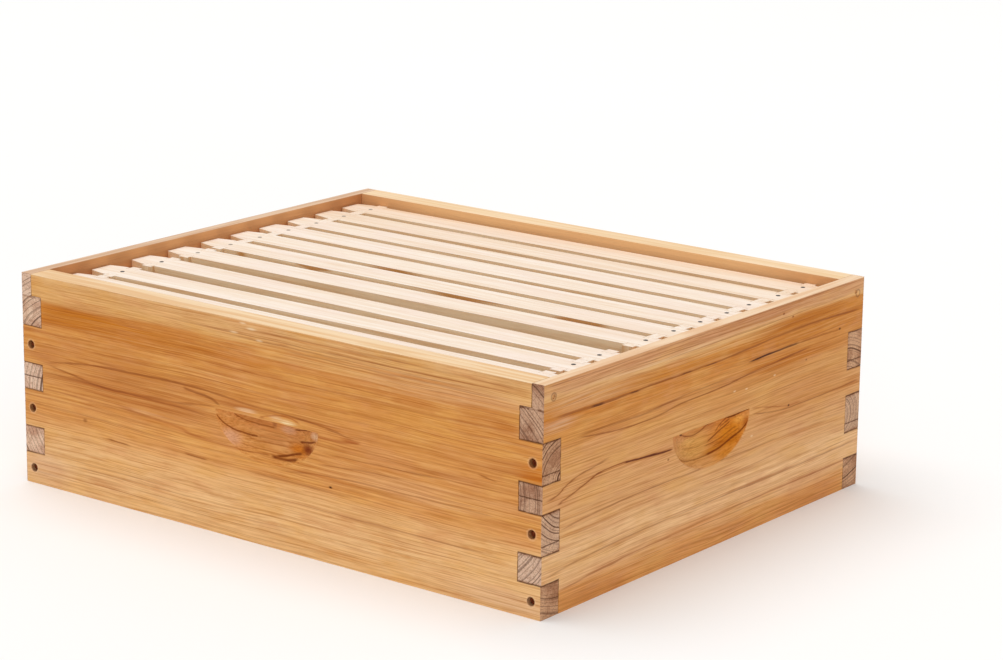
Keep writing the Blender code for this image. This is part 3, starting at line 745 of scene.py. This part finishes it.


# unfinished wood: straight grain along one axis, a shade of its own for each bar, a painted sheen that
# makes the tops paler and fades towards the back, with smears of wax near the upper edge of some bars'
# sides
def frameWood(name, look):
    material, shader, place = newMaterial(name)
    size = frameGrain
    local = inMillimetres(place)
    along, across, height = axesOf(local)
    streak, fibre = (
        noise(stretched(local, [size[key][axis != look["grain"]] for axis in "xyz"]), detail, roughness)
        for key, detail, roughness in (("streak", 3.0, 0.6), ("fibre", 4.0, 0.65))
    )
    shade = noise(stretched(local, size["shade"]), 0.0)
    cloud = noise(stretched(local, size["cloud"]), 2.0)
    side = mix(rise(streak, 0.4, 0.62), rgb(*look["side"]), rgb(*look["sideStreak"]))
    deep = 1 - rise(height, look["topFrom"] - size["smearTo"], look["topFrom"] - size["smearFrom"])
    for middle, front, reach in look["smears"]:
        off = abs(along - middle) / reach + abs(across - front) / size["smearAcross"]
        off = off + (streak - 0.5) * 4 + deep * 1.5
        side = mix((1 - rise(off, 0.2, 1.2)) * 0.8, side, rgb(*look["smearColour"]))
    # painted sheen: the top faces get their own paler colours, standing in for the grazing reflection of
    # the sky, creamier towards the back
    top = mix(rise(streak, 0.4, 0.65), rgb(*look["top"]), rgb(*look["topStreak"]))
    top = mix(rise(cloud, 0.4, 0.65) * 0.5, top, rgb(*look["topPink"]))
    top = tint(rise(across, size["farFrom"], size["farTo"]) * 0.9, top, rgb(*look["topFar"]))
    colour = mix(rise(height, look["topFrom"] - 0.45, look["topFrom"] - 0.15), side, top)
    colour = tint(rise(shade, 0.35, 0.65) * 0.5, colour, rgb(*look["shade"]))
    colour = tint(rise(fibre, 0.45, 0.7) * 0.6, colour, rgb(*look["fibreColour"]))
    plug(shader, "Base Color", colour)
    plug(shader, "Roughness", 0.62 + (fibre - 0.5) * 0.2)
    shader.inputs["Specular IOR Level"].default_value = size["gloss"]
    plug(shader, "Normal", bump(fibre, frameGrain))
    return material


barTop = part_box(frameNames[0] + "_top_bar")[1].z / millimetre
# the top colours are a painted sheen, paler than the wood's own side colours
topBarLook = {
    "grain": "x", "topFrom": barTop, "top": (253, 240, 226), "topStreak": (245, 224, 202),
    "topPink": (249, 230, 218), "topFar": (250, 240, 228),
    "smears": (  # on the bars' front sides: middle along and across, half length
        (-58, 14, 24), (-193, -21.5, 8), (-117, -21.5, 14), (32, -21.5, 36), (148, -21.5, 18),
        (-170, 98, 14),
    ),
    "smearColour": (204, 136, 44), "side": (254, 230, 194), "sideStreak": (244, 210, 166),
    "shade": (250, 243, 234), "fibreColour": (240, 226, 208),
}
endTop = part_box(frameNames[0] + "_left_end_bar")[1].z / millimetre
endBarLook = dict(topBarLook, grain="z", topFrom=endTop, smears=(), sideStreak=(236, 196, 146))
bottomBarLook = dict(topBarLook, topFrom=boxHeight, smears=(), side=(240, 206, 160))
frameFinishes = {
    "_top_bar": frameWood("top_bar_wood", topBarLook),
    "_left_end_bar": frameWood("end_bar_wood", endBarLook),
    "_bottom_bar": frameWood("bottom_bar_wood", bottomBarLook),
}
frameFinishes["_right_end_bar"] = frameFinishes["_left_end_bar"]
for frameName in frameNames:
    for ending, finish in frameFinishes.items():
        nodes[frameName + ending].data.materials[0] = finish
print("frames finished")


# eased edges: the loose triangles are welded and merged into flat faces, shaded smooth, and every sharp
# edge is rounded a little
easing = {
    "boardRound": 0.00045, "frameRound": 0.0003, "segments": 2, "sharpest": math.radians(35),
    "weldWithin": 0.00001, "flatWithin": math.radians(0.5),
}


def smoothGroup():
    group = bpy.data.node_groups.new("smooth_faces", "GeometryNodeTree")
    group.interface.new_socket("Mesh", in_out="INPUT", socket_type="NodeSocketGeometry")
    group.interface.new_socket("Mesh", in_out="OUTPUT", socket_type="NodeSocketGeometry")
    start = group.nodes.new("NodeGroupInput")
    normals = group.nodes.new("GeometryNodeSetMeshNormal")
    normals.inputs["Remove Custom"].default_value = True
    end = group.nodes.new("NodeGroupOutput")
    group.links.new(start.outputs[0], normals.inputs["Mesh"])
    group.links.new(normals.outputs[0], end.inputs[0])
    return group


def easeEdges(piece, width):
    weld = piece.modifiers.new("weld", "WELD")
    weld.merge_threshold = easing["weldWithin"]
    flat = piece.modifiers.new("flat_faces", "DECIMATE")
    flat.decimate_type = "DISSOLVE"
    flat.angle_limit = easing["flatWithin"]
    smooth = piece.modifiers.new("smooth_faces", "NODES")
    smooth.node_group = smoothFaces
    bevel = piece.modifiers.new("eased_edges", "BEVEL")
    bevel.width = width
    bevel.segments = easing["segments"]
    bevel.limit_method = "ANGLE"
    bevel.angle_limit = easing["sharpest"]
    piece.modifiers.new("flat_shading", "WEIGHTED_NORMAL")


smoothFaces = smoothGroup()
for nodeName, node in nodes.items():
    if "foundation" not in nodeName:
        easeEdges(node, easing["boardRound"] if "board" in nodeName else easing["frameRound"])
print("edges eased")


def newPiece(name, points, faces, material, body):
    mesh = bpy.data.meshes.new(name)
    mesh.from_pydata(points, [], faces)
    mesh.materials.append(material)
    piece = bpy.data.objects.new(name, mesh)
    bpy.context.scene.collection.objects.link(piece)
    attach(piece, body)
    return piece


nails = {
    "holeHead": [(0.0027, -0.0034), (0.0027, -0.0029), (0.0022, -0.0025)],  # sunk in a nail hole
    "endHead": [(0.0018, -0.0012), (0.0018, 0.0001), (0.0014, 0.0003)],  # driven flush in an end board
    "barHead": [(0.0018, -0.0012), (0.0018, 0.0001), (0.0014, 0.00025)],  # driven flush in a bar
    "sides": 14, "endInset": 0.0114, "endHeight": 0.158,
    # how far a frame's right upper nail sits off the middle, frames counted from 0 at the front
    "strayed": {1: 0.003, 3: 0.004, 4: 0.004, 5: 0.0035, 6: 0.0035, 8: 0.0035, 9: 0.0035},
    "holeFinish": {"steel": (122, 54, 22), "rust": (64, 24, 8), "shine": 0.0, "worn": 0.0},
    "endFinish": {"steel": (198, 142, 88), "rust": (150, 92, 48), "shine": 0.0, "worn": 0.0},
    "barFinish": {"steel": (84, 82, 84), "rust": (64, 52, 46), "shine": 0.5, "worn": 0.6},
    "rustGrain": (1.1, 1.1, 1.1), "wornColour": (206, 190, 174), "gloss": 0.1,
    "wornAlong": (-100, 100), "wornAcross": (-75, -60),  # where the paler heads fade out and in, in millimetres
}


# nail steel: dull metal under brown rust patches, and paler heads to the left and behind the front
def nailSteel(name, look):
    material, shader, place = newMaterial(name)
    local = inMillimetres(place)
    rust = rise(noise(stretched(local, nails["rustGrain"]), 3.0), 0.45, 0.65)
    along, across, _ = axesOf(local)
    worn = (1 - rise(along, *nails["wornAlong"])) * rise(across, *nails["wornAcross"]) * look["worn"]
    colour = mix(rust, rgb(*look["steel"]), rgb(*look["rust"]))
    plug(shader, "Base Color", mix(worn, colour, rgb(*nails["wornColour"])))
    plug(shader, "Roughness", 0.55 + rust * 0.3)
    plug(shader, "Metallic", (1 - rust) * look["shine"])
    shader.inputs["Specular IOR Level"].default_value = nails["gloss"]
    return material


boardNail = nailSteel("board_nail_steel", nails["holeFinish"])
endNail = nailSteel("end_nail_filler", nails["endFinish"])
barNail = nailSteel("bar_nail_steel", nails["barFinish"])


# heads turned about their own axis: radius and height follow the profile, and the poles close both ends
def nailHeads(name, profile, seats, outward, body, finish):
    sides = nails["sides"]
    angle = np.arange(sides) * 2 * np.pi / sides
    radius, level = np.array(profile).T
    across = np.outer(radius, np.cos(angle))
    upward = np.outer(radius, np.sin(angle))
    ring = np.stack([across, upward, np.repeat(level[:, None], sides, 1)], -1).reshape(-1, 3)
    head = np.vstack([ring, [[0, 0, level[0]], [0, 0, level[-1]]]])
    turn = np.array(Vector(outward).to_track_quat("Z", "Y").to_matrix())
    points = (head @ turn.T)[None] + np.array(seats)[:, None]
    step = np.arange(sides)
    after = (step + 1) % sides
    rows = len(profile)
    wall = np.stack([step, after, sides + after, sides + step], 1)
    quads = [wall + row * sides for row in range(rows - 1)]
    lower = np.stack([after, step, np.full(sides, rows * sides)], 1)
    last = (rows - 1) * sides
    upper = np.stack([last + step, last + after, np.full(sides, rows * sides + 1)], 1)
    faces = []
    for copy in range(len(seats)):
        for group in (*quads, lower, upper):
            faces += (group + copy * len(head)).tolist()
    return newPiece(name, points.reshape(-1, 3), faces, finish, body)


def endBarMiddles(frameName):
    return [sum(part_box(frameName + end), Vector()) / 2 for end in ("_left_end_bar", "_right_end_bar")]


endFace = halfLength * millimetre
sideFace = halfWidth * millimetre
holeAlong = endFace - frontBoard["holeInset"] * millimetre
holeLevels = [level * millimetre for level in frontBoard["holes"]]
for side, name in ((-1, "front_nails"), (1, "rear_nails")):
    seats = [(end * holeAlong, side * sideFace, level) for end in (-1, 1) for level in holeLevels]
    nailHeads(name, nails["holeHead"], seats, (0, side, 0), "box", boardNail)
endAcross = sideFace - nails["endInset"]
for side, name in ((-1, "left_end_nails"), (1, "right_end_nails")):
    seats = [(side * endFace, end * endAcross, nails["endHeight"]) for end in (-1, 1)]
    nailHeads(name, nails["endHead"], seats, (side, 0, 0), "box", endNail)
for number, frameName in enumerate(frameNames):
    left, right = endBarMiddles(frameName)
    off = nails["strayed"].get(number, 0)
    strayed = right + Vector((off / 3, off, 0))
    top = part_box(frameName + "_top_bar")[1].z
    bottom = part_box(frameName + "_bottom_bar")[0].z
    upper = [(seat.x, seat.y, top) for seat in (left, strayed)]
    lower = [(seat.x, seat.y, bottom) for seat in (left, right)]
    nailHeads(frameName + "_top_nails", nails["barHead"], upper, (0, 0, 1), frameName, barNail)
    nailHeads(frameName + "_bottom_nails", nails["barHead"], lower, (0, 0, -1), frameName, barNail)
print("nails driven")


foundation = {
    "cellAcross": 0.0053, "floorDepth": 0.00085, "thickness": 0.0026,
    "amber": (236, 188, 92), "deepAmber": (220, 164, 70), "cloud": (60, 60, 40),  # the cloud in millimetres
    "glow": 0.15, "glowReach": (0.004, 0.002, 0.0008),
}


# beeswax: amber with deeper clouds, a little see-through
def beeswax():
    material, shader, place = newMaterial("foundation_wax")
    cloud = noise(stretched(inMillimetres(place), foundation["cloud"]), 3.0)
    amber, deepAmber = rgb(*foundation["amber"]), rgb(*foundation["deepAmber"])
    plug(shader, "Base Color", mix(rise(cloud, 0.35, 0.68), amber, deepAmber))
    plug(shader, "Roughness", 0.38 + cloud * 0.15)
    shader.inputs["Subsurface Weight"].default_value = foundation["glow"]
    shader.inputs["Subsurface Radius"].default_value = foundation["glowReach"]
    return material


waxFinish = beeswax()


# pressed sheet: points on a lattice of equal triangles, every third one a sunk cell floor and the rest cell
# corners; odd columns sit half a step lower, so their first and last points are held at the sheet's edges
def pressedSheet(frameName):
    low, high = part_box(frameName + "_foundation")
    leftEnd, rightEnd = endBarMiddles(frameName)
    slope = (rightEnd.y - leftEnd.y) / (rightEnd.x - leftEnd.x)
    columns = 2 * round((high.x - low.x) / foundation["cellAcross"])
    rows = round((high.z - low.z) / (foundation["cellAcross"] / math.sqrt(3)))
    column, row = np.meshgrid(np.arange(columns + 1), np.arange(rows + 2), indexing="ij")
    odd = column % 2
    level = np.clip(row - odd / 2, 0, rows).astype(float)
    level[(odd == 0) & (row == rows)] -= 0.5
    along = low.x + (high.x - low.x) * column / columns
    up = low.z + (high.z - low.z) * level / rows
    inside = (column > 0) & (column < columns) & (row > 0) & (row <= rows)
    sunk = inside & ((row + odd) % 3 == 0)
    lift = foundation["thickness"] / 2 - np.where(sunk, foundation["floorDepth"], 0)
    middle = (leftEnd.y + rightEnd.y) / 2 + slope * along
    front = np.stack([along, middle - lift, up], -1).reshape(-1, 3)
    back = np.stack([along, middle + lift, up], -1).reshape(-1, 3)

    number = np.arange(column.size).reshape(column.shape)
    a, b = number[:-1, :-1], number[1:, :-1]
    c, d = number[1:, 1:], number[:-1, 1:]
    even = (odd[:-1, :-1] == 0)[..., None]
    lower = np.where(even, np.stack([a, b, c], -1), np.stack([a, b, d], -1)).reshape(-1, 3)
    upper = np.where(even, np.stack([a, c, d], -1), np.stack([d, b, c], -1)).reshape(-1, 3)
    facing = np.vstack([lower, upper])
    edge = np.concatenate([number[:-1, 0], number[-1, :-1], number[:0:-1, -1], number[0, :0:-1]])
    after = np.roll(edge, -1)
    border = np.stack([after, edge, edge + column.size, after + column.size], 1)
    faces = facing.tolist() + (facing[:, ::-1] + column.size).tolist() + border.tolist()
    points = np.vstack([front, back])
    sheet = newPiece(frameName + "_sheet", points, faces, waxFinish, frameName)
    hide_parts(frameName + "_foundation")


for frameName in frameNames:
    pressedSheet(frameName)
print("foundation pressed")

# stage: a pale floor under a white sky, with soft light from above and from the front right
stageLook = {
    "floorSize": 30.0, "floorPale": (252, 251, 250), "floorCloud": (248, 247, 245), "skyStrength": 0.46,
    "lights": (  # where the light comes from, its strength, and its spread in degrees
        ("overhead", (-0.25, -0.05, 1), 1.75, 60), ("front_fill", (0.68, -0.72, 0.4), 0.65, 40),
    ),
}


def paleFloor():
    material, shader, place = newMaterial("pale_floor")
    pale, clouded = rgb(*stageLook["floorPale"]), rgb(*stageLook["floorCloud"])
    plug(shader, "Base Color", mix(noise(place, 2.0), pale, clouded))
    shader.inputs["Roughness"].default_value = 0.9
    half = stageLook["floorSize"] / 2
    corners = [(-half, -half, 0), (half, -half, 0), (half, half, 0), (-half, half, 0)]
    mesh = bpy.data.meshes.new("floor")
    mesh.from_pydata(corners, [], [(0, 1, 2, 3)])
    mesh.materials.append(material)
    floor = bpy.data.objects.new("floor", mesh)
    bpy.context.scene.collection.objects.link(floor)


def softLight(name, source, strength, spread):  # a wide sun, so that the floor is lit evenly far away
    lamp = bpy.data.lights.new(name, "SUN")
    lamp.energy = strength
    lamp.angle = math.radians(spread)
    light = bpy.data.objects.new(name, lamp)
    light.matrix_world = Vector(source).to_track_quat("Z", "Y").to_matrix().to_4x4()
    bpy.context.scene.collection.objects.link(light)


paleFloor()
for light in stageLook["lights"]:
    softLight(*light)
world = bpy.data.worlds.new("studio")
world.use_nodes = True
sky = world.node_tree.nodes["Background"]
sky.inputs["Color"].default_value = (1, 1, 1, 1)
sky.inputs["Strength"].default_value = stageLook["skyStrength"]
bpy.context.scene.world = world
bpy.context.scene.view_settings.view_transform = "Standard"
print("stage lit")

# camera at the photograph's view, fitted to the box's corners: angles in degrees, and from the box's middle
# the distance and the steps aside and up, in metres
photoView = {
    "azimuth": 37.662, "elevation": 14.553, "roll": 0.685, "distance": 2.397538, "right": -0.045096,
    "up": -0.038288, "focalPixels": 3070.951, "imageWidth": 1003,
}


def photoCamera(look):
    turn, tilt, roll = (math.radians(look[key]) for key in ("azimuth", "elevation", "roll"))
    back = Vector((math.sin(turn) * math.cos(tilt), -math.cos(turn) * math.cos(tilt), math.sin(tilt)))
    level = (-back).cross(Vector((0, 0, 1))).normalized()
    upright = level.cross(-back)
    right = level * math.cos(roll) + upright * math.sin(roll)
    up = upright * math.cos(roll) - level * math.sin(roll)
    aim = Vector((0, 0, boxHeight * millimetre / 2))
    data = bpy.data.cameras.new("photo_camera")
    data.lens = look["focalPixels"] / look["imageWidth"] * data.sensor_width
    camera = bpy.data.objects.new("photo_camera", data)
    spot = aim - right * look["right"] - up * look["up"] + back * look["distance"]
    camera.matrix_world = Matrix.Translation(spot) @ Matrix((right, up, back)).transposed().to_4x4()
    bpy.context.scene.collection.objects.link(camera)
    bpy.context.scene.camera = camera


photoCamera(photoView)
